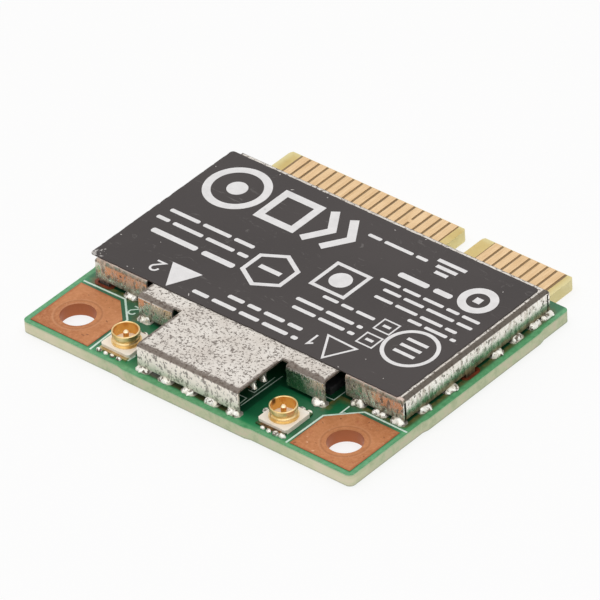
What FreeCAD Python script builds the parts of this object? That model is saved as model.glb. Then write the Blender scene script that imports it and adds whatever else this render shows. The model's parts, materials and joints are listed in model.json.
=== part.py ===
import FreeCAD, Part
import math
import os
from FreeCAD import Vector

# Half-size plug-in radio card of a laptop, in millimetres.
# A bare board carries a contact tongue with a key notch, two plated screw lands,
# a folded screening can over the radio circuit and two round antenna sockets.
# X runs along the wide edge, Y towards the contact tongue and Z up.
# The origin lies under the middle of the card, on the plane that it rests on.

# Board
card_length = 26.8
board_width = 29.76
board_thickness = 1.0
copper = 0.035
front_corner_r = 0.45
shoulder_corner_r = 0.4
tongue_root_r = 0.3
tongue_inset = 2.03
tongue_length = 3.15
tongue_corner_r = 0.5
tongue_bevel = 0.12

# Stubs of the panel tabs that the board was snapped from
tab_proud = 0.12
tab_ramp = 0.5
side_tab_length = 13.1
side_tab_shift = 0.85
front_tab_length = 12.0

# Edge contacts, one grid for both rows, with the key in the missing places
contact_end_gap = 1.25
contact_gap = 0.2
contact_length = 2.55
contact_tip_gap = 0.16
long_row_count = 18
missing_count = 4
short_row_count = 8
row_stagger = 0.4
key_width = 1.6
key_depth = 3.0
key_lip_r = 0.45

# Screw holes and their plated lands
hole_inset = 2.78
hole_r = 1.3
land_size = 5.3
land_chamfer = 1.65
land_edge_gap = 0.44

# Screening can, folded from one sheet with a step and an extension in front
can_height = 2.0
can_left_gap = 1.13
can_right_gap = 0.78
can_setback = 1.15
left_front_wall_width = 5.35
right_front_wall_width = 5.7
step_length = 1.55
extension_length = 4.35
extension_setback = 0.68
sheet = 0.15
bend_r = 0.32
corner_slit = 0.14
corner_relief = 0.6
foot_height = 0.25
foot_width = 0.9

# Places of the feet and locating tabs, from the end of the wall that each list names
side_feet_from_back = [0.45, 1.75, 3.7, 5.85, 10.85, 13.6]
side_slot_from_back = 8.65
front_feet_from_right = [0.5, 2.1, 4.0]
front_feet_from_left = [3.25]
front_slot_from_left = 0.75
extension_feet_from_left = [0.475, 2.515, 4.615, 6.715]
extension_feet_from_right = [0.475]
step_foot_inset = 0.5
back_foot_pitch = 2.3

# Copper and solder under the feet
foot_land_length = 1.25
foot_land_width = 0.8
foot_land_chamfer = 0.2
solder_reach = 0.3
solder_rise = 0.4
slot_land_length = 1.7
slot_length = 1.2
slot_width = 0.36
tab_length = 0.9
tab_depth = 0.55

# Label on the can, which hangs over its left edge
label_left_overhang = 0.55
label_right_margin = 0.5
label_front_margin = 0.1
label_back_margin = 0.45
label_thickness = 0.08
label_corner_r = 0.25

# Antenna sockets
socket_to_front = 2.25
base_to_land = 0.715
left_base_to_extension = 1.11
right_base_to_extension = 1.4
base_size = 2.6
base_chamfer = 0.15
base_height = 0.35
shell_r = 1.0
shell_wall = 0.12
shell_height = 1.285
shell_flare = 0.07
shell_foot_height = 0.08
groove_depth = 0.09
groove_height = 0.7
groove_width = 0.14
groove_slope = 0.09
lip_chamfer = 0.04
ground_tab_width = 2.5
ground_tab_proud = 0.25
ground_tab_lap = 0.35
ground_tab_thickness = 0.12
pin_r = 0.2
pin_height = 1.18
pin_bevel = 0.08
pin_tail_width = 0.4
pin_tail_thickness = 0.1
pin_tail_proud = 0.3
socket_solder_reach = 0.22

# Parts on the board under the can
radio_height = 0.85
radio_side_gap = 3.15
radio_front_gap = 3.7
radio_back_gap = 3.1
radio_lead_pitch = 0.5
lead_end_gap = 0.45
lead_width = 0.26
lead_reach = 0.35
lead_height = 0.2
memory_size = 3.0
memory_height = 0.9
memory_lead_pitch = 0.65
crystal_width = 3.2
crystal_length = 2.5
crystal_body_height = 0.5
crystal_lid_height = 0.2
crystal_rim = 0.22
regulator_size = 2.0
regulator_height = 0.75
inductor_width = 2.6
inductor_length = 2.2
inductor_height = 1.2
front_end_size = 2.5
front_end_height = 0.75
switch_size = 1.5
switch_height = 0.55
filter_width = 2.0
filter_length = 1.25
filter_height = 0.9
part_gap = 0.9
column_gap = 0.3
row_gap = 0.6
marker_r = 0.25
marker_depth = 0.05
chip_bevel = 0.06

# Chip capacitors and resistors
capacitor_length = 1.6
capacitor_width = 0.8
capacitor_height = 0.8
resistor_length = 1.0
resistor_width = 0.5
resistor_height = 0.35
end_cap = 0.25
passive_pitch = 1.5

# Two smaller capacitors that show through the open side of the extension
window_capacitor_length = 1.0
window_capacitor_width = 0.5
window_capacitor_height = 0.5
window_end_cap = 0.2
window_side_gap = 1.25
window_row_gap = 0.55

# Levels and lines that the sizes above set
tip_y = card_length / 2
front_y = -card_length / 2 + tab_proud
shoulder_y = tip_y - tongue_length
side_x = board_width / 2
tongue_x = side_x - tongue_inset
mask_z = board_thickness - copper
hole_x = side_x - hole_inset
hole_y = front_y + hole_inset
land_outer_x = side_x - land_edge_gap
land_inner_x = land_outer_x - land_size
land_front_y = front_y + land_edge_gap
socket_x = land_inner_x - base_to_land - base_size / 2
socket_y = front_y + socket_to_front
can_left_x = can_left_gap - side_x
can_right_x = side_x - can_right_gap
can_back_y = shoulder_y - can_setback
extension_front_y = front_y + extension_setback
step_front_y = extension_front_y + extension_length
can_front_y = step_front_y + step_length
can_length = can_back_y - can_front_y
step_left_x = can_left_x + left_front_wall_width
step_right_x = can_right_x - right_front_wall_width
extension_left_x = left_base_to_extension - (socket_x - base_size / 2)
extension_right_x = socket_x - base_size / 2 - right_base_to_extension
can_top = board_thickness + can_height
skirt_z = board_thickness + foot_height
contact_places = long_row_count + missing_count + short_row_count
contact_pitch = 2 * (tongue_x - contact_end_gap) / (contact_places - 1)
contact_width = contact_pitch - contact_gap

# Outer face of each can wall: the axis it stands across, its place and its outward side
walls = {
    "right": ("x", can_right_x, 1),
    "left": ("x", can_left_x, -1),
    "back": ("y", can_back_y, 1),
    "front": ("y", can_front_y, -1),
    "step": ("y", step_front_y, -1),
    "extension": ("y", extension_front_y, -1),
}
# Locating tabs of the can that stand in plated slots and have no solder
slot_places = {
    "board_slot_right": ("right", can_back_y - side_slot_from_back),
    "board_slot_front": ("front", can_left_x + front_slot_from_left),
}


def box(x0, x1, y0, y1, z0, z1):
    return Part.makeBox(x1 - x0, y1 - y0, z1 - z0, Vector(x0, y0, z0))


def cylinder(x, y, r, z0, z1):
    return Part.makeCylinder(r, z1 - z0, Vector(x, y, z0))


def outline(corners):
    """Closed wire through the corners (x, y, r), each rounded to its own radius r."""
    points = [Vector(x, y, 0) for x, y, r in corners]
    arcs = []
    for i, (x, y, r) in enumerate(corners):
        here = points[i]
        back = (points[i - 1] - here).normalize()
        ahead = (points[(i + 1) % len(points)] - here).normalize()
        if r == 0:
            arcs.append((here, None, here))
            continue
        half_angle = back.getAngle(ahead) / 2
        reach = r / math.tan(half_angle)
        centre = here + (back + ahead).normalize() * (r / math.sin(half_angle))
        middle = centre + (here - centre).normalize() * r
        arcs.append((here + back * reach, middle, here + ahead * reach))
    edges = []
    for i, (start, middle, end) in enumerate(arcs):
        if middle is not None:
            edges.append(Part.Arc(start, middle, end).toShape())
        following = arcs[(i + 1) % len(arcs)][0]
        if (following - end).Length > 1e-4:
            edges.append(Part.LineSegment(end, following).toShape())
    return Part.Wire(edges)


def plate(corners, z0, z1):
    """Flat plate with the given rounded outline between two levels."""
    wire = outline(corners)
    wire.translate(Vector(0, 0, z0))
    return Part.Face(wire).extrude(Vector(0, 0, z1 - z0))


def rounded_plate(x0, x1, y0, y1, r, z0, z1):
    return plate([(x0, y0, r), (x1, y0, r), (x1, y1, r), (x0, y1, r)], z0, z1)


def cut_corners(x0, x1, y0, y1, cut):
    """Corners of a rectangle whose own corners are cut off at 45 degrees."""
    points = [(x0 + cut, y0), (x1 - cut, y0), (x1, y0 + cut), (x1, y1 - cut),
              (x1 - cut, y1), (x0 + cut, y1), (x0, y1 - cut), (x0, y0 + cut)]
    return [(x, y, 0) for x, y in points]


def mirrored(corners):
    """The same corners on the other side of the Y axis, in the order that keeps the turn."""
    return [(-x, y, r) for x, y, r in reversed(corners)]


def feet_from(end, direction, distances, wall_length):
    """Places at the distances from a wall's end, as far as a foot fits on the wall."""
    last = wall_length - foot_width / 2
    return [end + direction * distance for distance in distances if distance <= last]


def soldered_feet():
    """Places of the soldered feet along each wall."""
    side = feet_from(can_back_y, -1, side_feet_from_back, can_length - bend_r)
    back_low = math.ceil((can_left_x + foot_land_length) / back_foot_pitch)
    back_high = math.floor((can_right_x - foot_land_length) / back_foot_pitch)
    front = (feet_from(can_left_x, 1, front_feet_from_left, left_front_wall_width - corner_relief)
             + feet_from(can_right_x, -1, front_feet_from_right, right_front_wall_width - corner_relief))
    extension_reach = extension_right_x - extension_left_x
    extension = (feet_from(extension_left_x, 1, extension_feet_from_left, extension_reach)
                 + feet_from(extension_right_x, -1, extension_feet_from_right, extension_reach))
    return {
        "right": side,
        "left": side,
        "back": [i * back_foot_pitch for i in range(back_low, back_high + 1)],
        "front": front,
        "step": [step_left_x + step_foot_inset, step_right_x - step_foot_inset],
        "extension": extension,
    }


def contact_x(place, stagger):
    """Middle of the contact at a place on the shared grid."""
    return (place - (contact_places - 1) / 2) * contact_pitch + stagger


def key_x():
    """The key stands halfway between the rows, in the middle of both sides' gaps."""
    left = contact_x(long_row_count - 1, 0)
    right = contact_x(long_row_count + missing_count, 0)
    return (left + right) / 2


def board_corners():
    tab_start = side_tab_shift - side_tab_length / 2
    tab_end = side_tab_shift + side_tab_length / 2
    right_side = [
        (front_tab_length / 2 - tab_ramp, front_y - tab_proud, 0),
        (front_tab_length / 2, front_y, 0),
        (side_x, front_y, front_corner_r),
        (side_x, tab_start, 0),
        (side_x + tab_proud, tab_start + tab_ramp, 0),
        (side_x + tab_proud, tab_end - tab_ramp, 0),
        (side_x, tab_end, 0),
        (side_x, shoulder_y, shoulder_corner_r),
        (tongue_x, shoulder_y, tongue_root_r),
        (tongue_x, tip_y, tongue_corner_r),
    ]
    key_right = key_x() + key_width / 2
    key_left = key_x() - key_width / 2
    key_root_y = tip_y - key_depth
    key = [
        (key_right, tip_y, key_lip_r),
        (key_right, key_root_y, key_width / 2),
        (key_left, key_root_y, key_width / 2),
        (key_left, tip_y, key_lip_r),
    ]
    return right_side + key + mirrored(right_side)


def bevel_tongue(board):
    """Mill a straight 45-degree bevel along the tongue's tip, top and bottom."""
    cut = tongue_bevel
    for level, up in ((mask_z, 1), (copper, -1)):
        section = [
            Vector(-side_x, tip_y - 2 * cut, level + up * cut),
            Vector(-side_x, tip_y + cut, level + up * cut),
            Vector(-side_x, tip_y + cut, level - 2 * up * cut),
        ]
        wedge = Part.Face(Part.makePolygon(section + section[:1])).extrude(Vector(2 * side_x, 0, 0))
        board = board.cut(wedge)
    return board


def wall_span(wall, centre, length, width):
    """Sides (x0, x1, y0, y1) of a rectangle that runs along a wall, under its sheet."""
    axis, face, out = walls[wall]
    across = face - out * sheet / 2
    if axis == "x":
        return across - width / 2, across + width / 2, centre - length / 2, centre + length / 2
    return centre - length / 2, centre + length / 2, across - width / 2, across + width / 2


def slot_outline(wall, centre, length, width):
    """Corners of a round-ended slot that runs along a wall, under its sheet."""
    x0, x1, y0, y1 = wall_span(wall, centre, length, width)
    r = width / 2
    return [(x0, y0, r), (x1, y0, r), (x1, y1, r), (x0, y1, r)]


def make_board():
    board = bevel_tongue(plate(board_corners(), copper, mask_z))
    for side in (-1, 1):
        board = board.cut(cylinder(side * hole_x, hole_y, hole_r + copper, 0, board_thickness))
    for wall, centre in slot_places.values():
        slot = slot_outline(wall, centre, slot_length + 2 * copper, slot_width + 2 * copper)
        board = board.cut(plate(slot, 0, board_thickness))
    return board


def make_screw_land(side):
    """Plated land round a screw hole: one copper piece on both faces and through the hole."""
    land_back_y = land_front_y + land_size
    corners = [
        (land_inner_x, land_front_y, 0),
        (land_outer_x, land_front_y, 0),
        (land_outer_x, land_back_y, 0),
        (land_inner_x + land_chamfer, land_back_y, 0),
        (land_inner_x, land_back_y - land_chamfer, 0),
    ]
    if side < 0:
        corners = mirrored(corners)
    x = side * hole_x
    top = plate(corners, mask_z, board_thickness)
    bottom = plate(corners, 0, copper)
    barrel = cylinder(x, hole_y, hole_r + copper, 0, board_thickness)
    hole = cylinder(x, hole_y, hole_r, 0, board_thickness)
    return top.fuse([bottom, barrel]).cut(hole).removeSplitter()


def make_contacts(first, count, stagger, z0):
    """One group of gold contacts, all on one face of the tongue."""
    y1 = tip_y - contact_tip_gap
    y0 = y1 - contact_length
    contacts = []
    for place in range(first, first + count):
        x = contact_x(place, stagger)
        contacts.append(box(x - contact_width / 2, x + contact_width / 2, y0, y1, z0, z0 + copper))
    return Part.makeCompound(contacts)


def can_block(x0, x1, y0, y1, top, r, folds):
    """Block whose top edges are rounded where the sheet folds down."""
    block = box(x0, x1, y0, y1, 0, top)
    middles = {
        "left": Vector(x0, (y0 + y1) / 2, top),
        "right": Vector(x1, (y0 + y1) / 2, top),
        "front": Vector((x0 + x1) / 2, y0, top),
        "back": Vector((x0 + x1) / 2, y1, top),
    }
    folded = [
        edge for edge in block.Edges
        if any((edge.CenterOfMass - middles[fold]).Length < 1e-6 for fold in folds)
    ]
    return block.makeFillet(r, folded)


def can_form(inset):
    """Outer form of the can, or its inner form when inset by the sheet.

    The step and the extension fold down only in front, so their sides aren't inset.
    """
    top = can_top - inset
    r = bend_r - inset
    joint_y = can_front_y + bend_r + sheet
    main = can_block(can_left_x + inset, can_right_x - inset, can_front_y + inset, can_back_y - inset,
                     top, r, ("left", "right", "front", "back"))
    step = can_block(step_left_x, step_right_x, step_front_y + inset, joint_y, top, r, ("front",))
    extension = can_block(extension_left_x, extension_right_x, extension_front_y + inset, joint_y,
                          top, r, ("front",))
    return main.fuse([step, extension]).removeSplitter()


def wall_box(wall, centre, width, inner, outer, z0, z1):
    """Box along a wall, from inner to outer as measured outwards from the wall's face."""
    axis, face, out = walls[wall]
    near, far = sorted((face + out * inner, face + out * outer))
    if axis == "x":
        return box(near, far, centre - width / 2, centre + width / 2, z0, z1)
    return box(centre - width / 2, centre + width / 2, near, far, z0, z1)


def make_can():
    can = can_form(0).cut(can_form(sheet))
    below = box(-side_x, side_x, front_y, tip_y, 0, skirt_z)
    can = can.cut(below)
    slit_inset = sheet + corner_slit / 2
    for wall in ("left", "right"):
        for middle in (can_front_y + slit_inset, can_back_y - slit_inset):
            can = can.cut(wall_box(wall, middle, corner_slit, -2 * sheet, sheet, 0, can_top - bend_r))
    for wall, left_x, right_x in (("front", step_left_x, step_right_x),
                                  ("step", extension_left_x, extension_right_x)):
        for middle in (left_x - corner_relief / 2, right_x + corner_relief / 2):
            can = can.cut(wall_box(wall, middle, corner_relief, -bend_r, sheet, 0, can_top))
    feet = []
    for wall, places in soldered_feet().items():
        for centre in places:
            feet.append(wall_box(wall, centre, foot_width, -sheet, 0, board_thickness, skirt_z))
    for wall, centre in slot_places.values():
        feet.append(wall_box(wall, centre, tab_length, -sheet, 0, board_thickness - tab_depth, skirt_z))
    return can.fuse(feet).removeSplitter()


def make_foot_lands():
    """Copper lands under the soldered feet of the can."""
    lands = []
    for wall, places in soldered_feet().items():
        for centre in places:
            span = wall_span(wall, centre, foot_land_length, foot_land_width)
            lands.append(plate(cut_corners(*span, foot_land_chamfer), mask_z, board_thickness))
    return Part.makeCompound(lands)


def make_slot_land(wall, centre):
    """Plated slot: an oval copper ring on both faces joined by the plated wall."""
    ring_width = slot_width + slot_land_length - slot_length
    ring = slot_outline(wall, centre, slot_land_length, ring_width)
    sleeve = slot_outline(wall, centre, slot_length + 2 * copper, slot_width + 2 * copper)
    opening = slot_outline(wall, centre, slot_length, slot_width)
    top = plate(ring, mask_z, board_thickness)
    bottom = plate(ring, 0, copper)
    through = plate(sleeve, 0, board_thickness)
    return top.fuse([bottom, through]).cut(plate(opening, 0, board_thickness)).removeSplitter()


def solder_fillet(origin, out, along, reach, rise):
    """Solder in the angle between a land and an upright, with a hollow face."""
    foot = origin + out * reach
    head = origin + Vector(0, 0, rise)
    hollow = origin + out * (reach * 0.36) + Vector(0, 0, rise * 0.36)
    edges = [
        Part.LineSegment(origin, foot).toShape(),
        Part.Arc(foot, hollow, head).toShape(),
        Part.LineSegment(head, origin).toShape(),
    ]
    return Part.Face(Part.Wire(edges)).extrude(along)


def make_can_solder():
    fillets = []
    for wall, places in soldered_feet().items():
        axis, face, out = walls[wall]
        for centre in places:
            start = centre - foot_width / 2
            if axis == "x":
                origin = Vector(face, start, board_thickness)
                outwards, along = Vector(out, 0, 0), Vector(0, foot_width, 0)
            else:
                origin = Vector(start, face, board_thickness)
                outwards, along = Vector(0, out, 0), Vector(foot_width, 0, 0)
            fillets.append(solder_fillet(origin, outwards, along, solder_reach, solder_rise))
    return Part.makeCompound(fillets)


def make_label():
    return rounded_plate(can_left_x - label_left_overhang, can_right_x - label_right_margin,
                         can_front_y + label_front_margin, can_back_y - label_back_margin,
                         label_corner_r, can_top, can_top + label_thickness)


def turned(points):
    """Solid turned about the Z axis from a closed section of (radius, height) points."""
    section = [Vector(r, 0, z) for r, z in points]
    return Part.Face(Part.makePolygon(section + section[:1])).revolve(Vector(0, 0, 0), Vector(0, 0, 1), 360)


def make_shell():
    """Ground shell of a socket: the grooved ring and the two soldered tabs, at the origin."""
    neck = shell_r - groove_depth
    bore_r = shell_r - shell_wall
    foot_r = shell_r + shell_flare
    groove_top = groove_height + groove_width
    ring = turned([
        (bore_r, ground_tab_thickness),
        (foot_r, ground_tab_thickness),
        (foot_r, base_height + shell_foot_height),
        (shell_r - groove_depth / 3, base_height + shell_foot_height),
        (shell_r - groove_depth / 3, groove_height - groove_slope),
        (neck, groove_height),
        (neck, groove_top),
        (shell_r, groove_top + groove_slope),
        (shell_r, shell_height - lip_chamfer),
        (shell_r - lip_chamfer, shell_height),
        (bore_r + lip_chamfer, shell_height),
        (bore_r, shell_height - lip_chamfer),
    ])
    root_y = shell_r - ground_tab_lap
    end_y = base_size / 2 + ground_tab_proud
    tabs = [
        box(-ground_tab_width / 2, ground_tab_width / 2, y0, y1, 0, ground_tab_thickness)
        for y0, y1 in ((-end_y, -root_y), (root_y, end_y))
    ]
    return ring.fuse(tabs).removeSplitter()


def make_pin():
    """Centre pin with a bevelled head, and its tail to the board, at the origin."""
    post = turned([(0, 0), (pin_r, 0), (pin_r, pin_height - pin_bevel), (pin_r - pin_bevel, pin_height),
                   (0, pin_height)])
    tail = box(0, base_size / 2 + pin_tail_proud, -pin_tail_width / 2, pin_tail_width / 2,
               0, pin_tail_thickness)
    return post.fuse(tail).removeSplitter()


def make_base(shell, pin):
    """Plastic base with cut corners, moulded round the shell and the pin."""
    half = base_size / 2
    base = plate(cut_corners(-half, half, -half, half, base_chamfer), 0, base_height)
    return base.cut(shell).cut(pin)


def make_socket_solder():
    """Solder at both ground tabs and at the pin's tail, at the origin."""
    pieces = []
    for side in (-1, 1):
        origin = Vector(-ground_tab_width / 2, side * (base_size / 2 + ground_tab_proud), 0)
        pieces.append(solder_fillet(origin, Vector(0, side, 0), Vector(ground_tab_width, 0, 0),
                                    socket_solder_reach, ground_tab_thickness))
    origin = Vector(base_size / 2 + pin_tail_proud, -pin_tail_width / 2, 0)
    pieces.append(solder_fillet(origin, Vector(1, 0, 0), Vector(0, pin_tail_width, 0),
                                socket_solder_reach, pin_tail_thickness))
    return Part.makeCompound(pieces)


def placed_socket(shape, side):
    """A socket piece on the board; the pin's tail points to the card's middle."""
    piece = shape.copy()
    if side > 0:
        piece.rotate(Vector(0, 0, 0), Vector(0, 0, 1), 180)
    piece.translate(Vector(side * socket_x, socket_y, mask_z))
    return piece


def make_chip(x, y, width, length, height):
    """Moulded chip body with bevelled top edges and a round marker by its first lead."""
    body = box(x - width / 2, x + width / 2, y - length / 2, y + length / 2, mask_z, mask_z + height)
    top = mask_z + height
    top_edges = [edge for edge in body.Edges if all(abs(v.Z - top) < 1e-6 for v in edge.Vertexes)]
    body = body.makeChamfer(chip_bevel, top_edges)
    inset = 2 * marker_r + chip_bevel
    marker = cylinder(x - width / 2 + inset, y - length / 2 + inset, marker_r, top - marker_depth, top)
    return body.cut(marker)


def make_leads(x, y, width, length, pitch, sides):
    """Soldered leads along the named sides of a chip, as many as each side holds."""
    leads = []
    for side in sides:
        across = side in ("left", "right")
        span, half = (length, width / 2) if across else (width, length / 2)
        out = 1 if side in ("right", "back") else -1
        count = math.floor((span - 2 * lead_end_gap) / pitch) + 1
        near, far = sorted((out * half, out * (half + lead_reach)))
        for i in range(count):
            middle = (i - (count - 1) / 2) * pitch
            low, high = middle - lead_width / 2, middle + lead_width / 2
            if across:
                leads.append(box(x + near, x + far, y + low, y + high, mask_z, mask_z + lead_height))
            else:
                leads.append(box(x + low, x + high, y + near, y + far, mask_z, mask_z + lead_height))
    return Part.makeCompound(leads)


def passive(x, y, length, width, height, cap_length):
    """Body and two end caps of a chip passive that lies along X."""
    body_half = length / 2 - cap_length
    y0, y1 = y - width / 2, y + width / 2
    top = mask_z + height
    body = box(x - body_half, x + body_half, y0, y1, mask_z, top)
    caps = [
        box(x - length / 2, x - body_half, y0, y1, mask_z, top),
        box(x + body_half, x + length / 2, y0, y1, mask_z, top),
    ]
    return body, caps


def places_between(low, high, size, pitch):
    """Middles of as many equal parts as the pitch allows between two limits, from the low one."""
    count = math.floor((high - low - size) / pitch) + 1
    return [low + size / 2 + i * pitch for i in range(count)]


def circuit_layout():
    """Lines that the circuit's parts stand on, from the can's walls inwards."""
    layout = {"low_y": can_front_y + sheet + part_gap, "high_y": can_back_y - sheet - part_gap}
    column_inset = sheet + part_gap + capacitor_length / 2
    layout["columns"] = (can_left_x + column_inset, can_right_x - column_inset)
    row_inset = column_inset + capacitor_length / 2 + column_gap
    layout["left_x"] = can_left_x + row_inset + lead_reach + memory_size / 2
    layout["right_x"] = can_right_x - row_inset - inductor_width / 2
    radio_left_x = layout["left_x"] + memory_size / 2 + lead_reach + radio_side_gap
    radio_right_x = layout["right_x"] - inductor_width / 2 - radio_side_gap
    radio_low_y = can_front_y + radio_front_gap
    radio_high_y = can_back_y - radio_back_gap
    layout["radio"] = ((radio_left_x + radio_right_x) / 2, (radio_low_y + radio_high_y) / 2,
                       radio_right_x - radio_left_x, radio_high_y - radio_low_y)
    layout["row_y"] = radio_low_y - lead_reach - part_gap
    return layout


def make_passives():
    """Capacitor bodies, resistor bodies and the end caps of both."""
    layout = circuit_layout()
    capacitor_size = (capacitor_length, capacitor_width, capacitor_height, end_cap)
    window_size = (window_capacitor_length, window_capacitor_width, window_capacitor_height, window_end_cap)
    resistor_size = (resistor_length, resistor_width, resistor_height, end_cap)
    capacitor_places = []
    for y in places_between(layout["low_y"], layout["high_y"], capacitor_width, passive_pitch):
        for x in layout["columns"]:
            capacitor_places.append((x, y, capacitor_size))
    window_x = extension_right_x - window_side_gap - window_capacitor_length / 2
    window_y = step_front_y - window_capacitor_width / 2
    for i in range(2):
        row_shift = i * (window_capacitor_width + window_row_gap)
        capacitor_places.append((window_x, window_y - row_shift, window_size))
    radio_x, radio_y, radio_width, radio_length = layout["radio"]
    resistor_places = [
        (x, layout["row_y"])
        for x in places_between(radio_x - radio_width / 2, radio_x + radio_width / 2,
                                resistor_length, 2 * resistor_length)
    ]
    capacitors, resistors, caps = [], [], []
    for x, y, size in capacitor_places:
        body, ends = passive(x, y, *size)
        capacitors.append(body)
        caps.extend(ends)
    for x, y in resistor_places:
        body, ends = passive(x, y, *resistor_size)
        resistors.append(body)
        caps.extend(ends)
    return {
        "chip_capacitors": Part.makeCompound(capacitors),
        "chip_resistors": Part.makeCompound(resistors),
        "passive_end_caps": Part.makeCompound(caps),
    }


def make_circuit():
    """Parts of the radio circuit that stand under the can."""
    layout = circuit_layout()
    left_x, right_x = layout["left_x"], layout["right_x"]
    radio_x, radio_y, radio_width, radio_length = layout["radio"]
    memory_y = layout["low_y"] + memory_size / 2
    crystal_y = layout["high_y"] - crystal_length / 2
    crystal_top = mask_z + crystal_body_height
    inductor_y = layout["high_y"] - inductor_length / 2
    regulator_y = inductor_y - inductor_length / 2 - part_gap - regulator_size / 2
    filter_y = layout["low_y"] + filter_length / 2
    front_end_y = layout["row_y"] - resistor_width / 2 - row_gap - front_end_size / 2
    front_end_x = radio_x - radio_width / 2 + front_end_size / 2
    switch_x = right_x - filter_width / 2 - part_gap - switch_size / 2

    def block(x, y, width, length, z0, height):
        return box(x - width / 2, x + width / 2, y - length / 2, y + length / 2, z0, z0 + height)

    return {
        "radio_chip": make_chip(radio_x, radio_y, radio_width, radio_length, radio_height),
        "radio_chip_leads": make_leads(radio_x, radio_y, radio_width, radio_length, radio_lead_pitch,
                                       ("left", "right", "front", "back")),
        "memory_chip": make_chip(left_x, memory_y, memory_size, memory_size, memory_height),
        "memory_chip_leads": make_leads(left_x, memory_y, memory_size, memory_size, memory_lead_pitch,
                                        ("left", "right")),
        "crystal_body": block(left_x, crystal_y, crystal_width, crystal_length, mask_z,
                              crystal_body_height),
        "crystal_lid": block(left_x, crystal_y, crystal_width - 2 * crystal_rim,
                             crystal_length - 2 * crystal_rim, crystal_top, crystal_lid_height),
        "regulator_chip": make_chip(right_x, regulator_y, regulator_size, regulator_size, regulator_height),
        "power_inductor": block(right_x, inductor_y, inductor_width, inductor_length, mask_z,
                                inductor_height),
        "front_end_chip": make_chip(front_end_x, front_end_y, front_end_size, front_end_size,
                                    front_end_height),
        "antenna_switch": make_chip(switch_x, front_end_y, switch_size, switch_size, switch_height),
        "band_filter": block(right_x, filter_y, filter_width, filter_length, mask_z, filter_height),
    }


def make_nodes():
    short_first = long_row_count + missing_count
    half_stagger = row_stagger / 2
    nodes = {
        "board": make_board(),
        "screw_land_left": make_screw_land(-1),
        "screw_land_right": make_screw_land(1),
        "contacts_top_long": make_contacts(0, long_row_count, half_stagger, mask_z),
        "contacts_top_short": make_contacts(short_first, short_row_count, half_stagger, mask_z),
        "contacts_bottom_long": make_contacts(0, long_row_count, -half_stagger, 0),
        "contacts_bottom_short": make_contacts(short_first, short_row_count, -half_stagger, 0),
        "can_foot_lands": make_foot_lands(),
        "screening_can": make_can(),
        "can_solder": make_can_solder(),
        "label": make_label(),
    }
    for name, (wall, centre) in slot_places.items():
        nodes[name] = make_slot_land(wall, centre)
    shell = make_shell()
    pin = make_pin()
    socket = {"base": make_base(shell, pin), "shell": shell, "pin": pin, "solder": make_socket_solder()}
    for side_name, side in (("left", -1), ("right", 1)):
        for piece_name, shape in socket.items():
            nodes["socket_%s_%s" % (side_name, piece_name)] = placed_socket(shape, side)
    nodes.update(make_circuit())
    nodes.update(make_passives())
    return nodes


os.makedirs("parts", exist_ok=True)
for node_name, node_shape in make_nodes().items():
    node_shape.exportStep("parts/%s.step" % node_name)
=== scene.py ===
import json
import math
import random
from collections import Counter
from functools import partialmethod

import bmesh
import bpy
from mathutils import Matrix, Vector, noise


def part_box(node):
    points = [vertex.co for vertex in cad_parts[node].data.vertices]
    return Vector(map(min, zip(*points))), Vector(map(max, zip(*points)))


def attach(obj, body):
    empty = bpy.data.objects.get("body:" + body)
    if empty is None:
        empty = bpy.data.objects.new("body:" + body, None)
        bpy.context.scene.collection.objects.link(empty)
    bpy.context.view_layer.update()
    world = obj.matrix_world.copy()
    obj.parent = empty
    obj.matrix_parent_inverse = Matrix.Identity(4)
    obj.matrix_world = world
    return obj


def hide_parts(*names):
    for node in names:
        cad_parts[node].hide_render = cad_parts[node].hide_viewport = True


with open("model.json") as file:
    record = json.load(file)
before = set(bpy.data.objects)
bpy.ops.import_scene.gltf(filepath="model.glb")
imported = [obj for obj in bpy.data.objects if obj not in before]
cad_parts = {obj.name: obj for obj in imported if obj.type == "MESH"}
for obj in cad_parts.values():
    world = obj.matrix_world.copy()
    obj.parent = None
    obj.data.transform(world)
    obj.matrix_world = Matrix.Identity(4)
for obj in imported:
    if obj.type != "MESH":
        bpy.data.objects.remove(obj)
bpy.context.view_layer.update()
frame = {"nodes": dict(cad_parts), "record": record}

mm = 0.001

# Lines and levels of the card, in millimetres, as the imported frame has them. X runs to the right,
# Y from the sockets to the contacts, Z up from the card's underside.
low_can, high_can = (Vector(corner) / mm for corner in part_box("screening_can"))
mask_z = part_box("board")[1][2] / mm
label_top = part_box("label")[1][2] / mm
shell_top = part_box("socket_right_shell")[1][2] / mm
pin_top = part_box("socket_right_pin")[1][2] / mm

# Board and its contact tongue
side_x = 14.88
side_edge_x = 14.5
front_y = -13.28
shoulder_y = 10.25
tongue_x = 12.85
tip_y = 13.4
mask_lap = 0.06
copper_top = 1.0
board_middle_z = 0.5
contact_rows = ((-11.9, 2.6), (5.8, 12.3))
contact_end_y = 13.24

# Can: its front steps forward twice, and the outer step is the extension
can_left_x = low_can.x
can_right_x = high_can.x
can_back_y = high_can.y
can_front_y = -6.7
can_top = high_can.z
step_left_x = -8.4
step_right_x = 8.4
step_front_y = -8.25
extension_left_x = -4.715
extension_right_x = 4.425
extension_front_y = low_can.y
extension_middle_x = (extension_left_x + extension_right_x) / 2
extension_half = (extension_right_x - extension_left_x) / 2
slit_y = -6.48
flank_x = 13.5
can_boxes = (
    (can_left_x, can_right_x, can_front_y, can_back_y),
    (step_left_x, step_right_x, step_front_y, can_front_y),
    (extension_left_x, extension_right_x, extension_front_y, step_front_y),
)

# Screw lands
hole_x = 12.1
hole_y = -10.5
hole_r = 1.3
washer_r = 1.68
rub_width = 0.125
land_x = 11.79
land_y = -10.19
land_half = 2.65

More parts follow.
